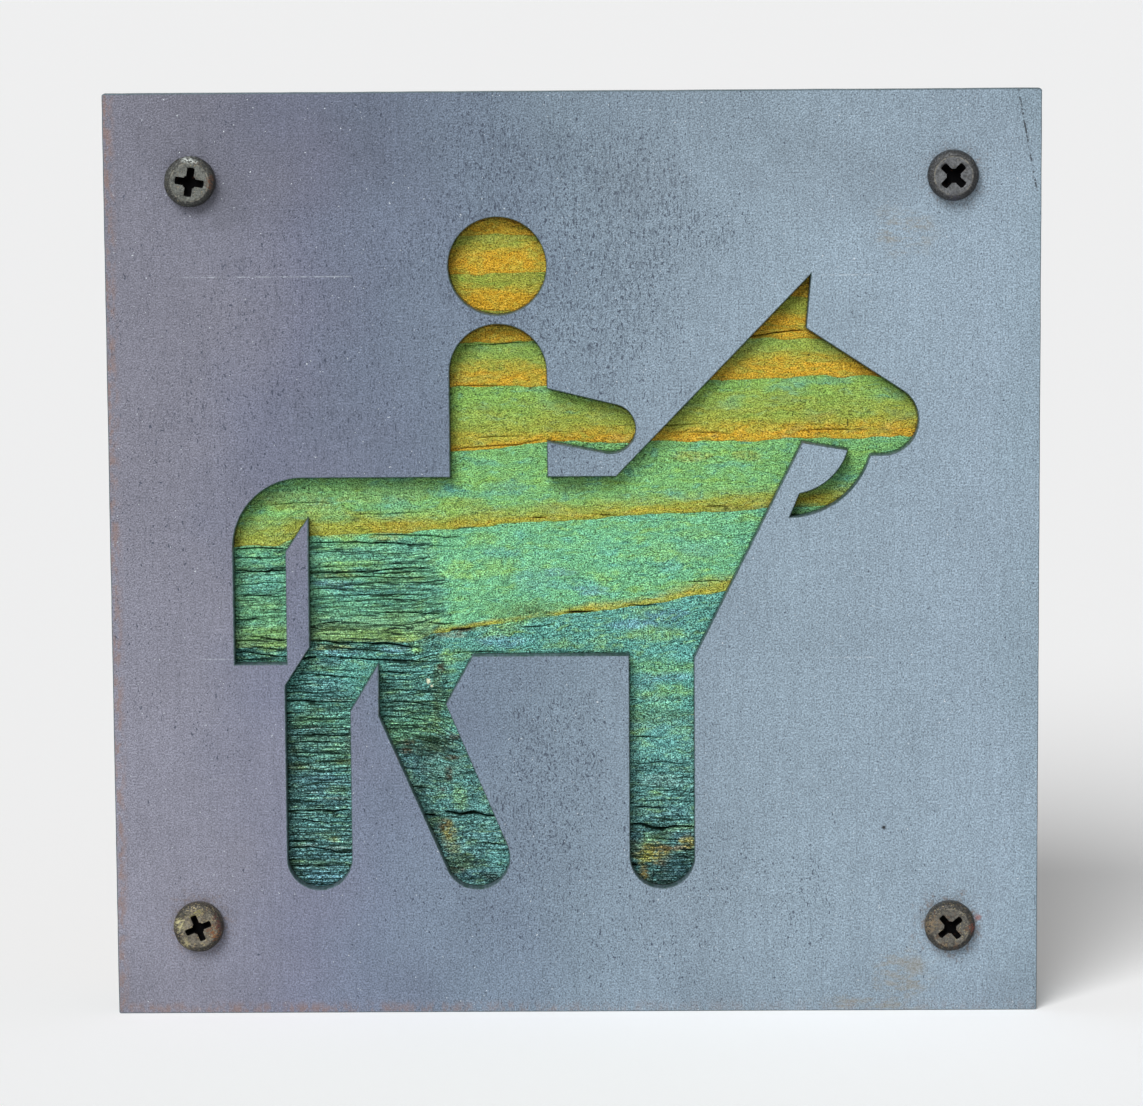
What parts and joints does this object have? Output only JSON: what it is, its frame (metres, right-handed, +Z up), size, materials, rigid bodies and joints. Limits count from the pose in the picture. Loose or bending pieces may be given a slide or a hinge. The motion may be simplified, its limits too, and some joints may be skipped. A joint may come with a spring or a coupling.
{
  "type": "pierced metal wall sign",
  "caption": "Square steel wall sign pierced with a rider on a horse, screwed to a stained wooden backing board with recessed keyhole hangers.",
  "frame": {"origin": "middle of the board's back, the face that lies on the wall", "axes": "+X right as seen from the front, +Y into the wall, +Z up"},
  "size_m": [0.15, 0.0156, 0.15],
  "materials": {
    "raw_steel": "raw hot-rolled steel, matt, finely pitted",
    "stained_wood": "weathered softwood stained green and orange",
    "weathered_screw": "blackened steel, matt, rust-speckled",
    "zinc_plate": "bright zinc plated, lightly dulled",
    "yellow_zinc": "yellow passivated zinc"
  },
  "bodies": {
    "root": {"face_plate": "raw_steel", "backing_board": "stained_wood", "face_screw_top_left": "weathered_screw", "face_screw_top_right": "weathered_screw", "face_screw_bottom_left": "weathered_screw", "face_screw_bottom_right": "weathered_screw", "hanger_plate_left": "zinc_plate", "hanger_plate_right": "zinc_plate", "hanger_screw_left_upper": "yellow_zinc", "hanger_screw_left_lower": "yellow_zinc", "hanger_screw_right_upper": "yellow_zinc", "hanger_screw_right_lower": "yellow_zinc"}
  },
  "joints": []
}
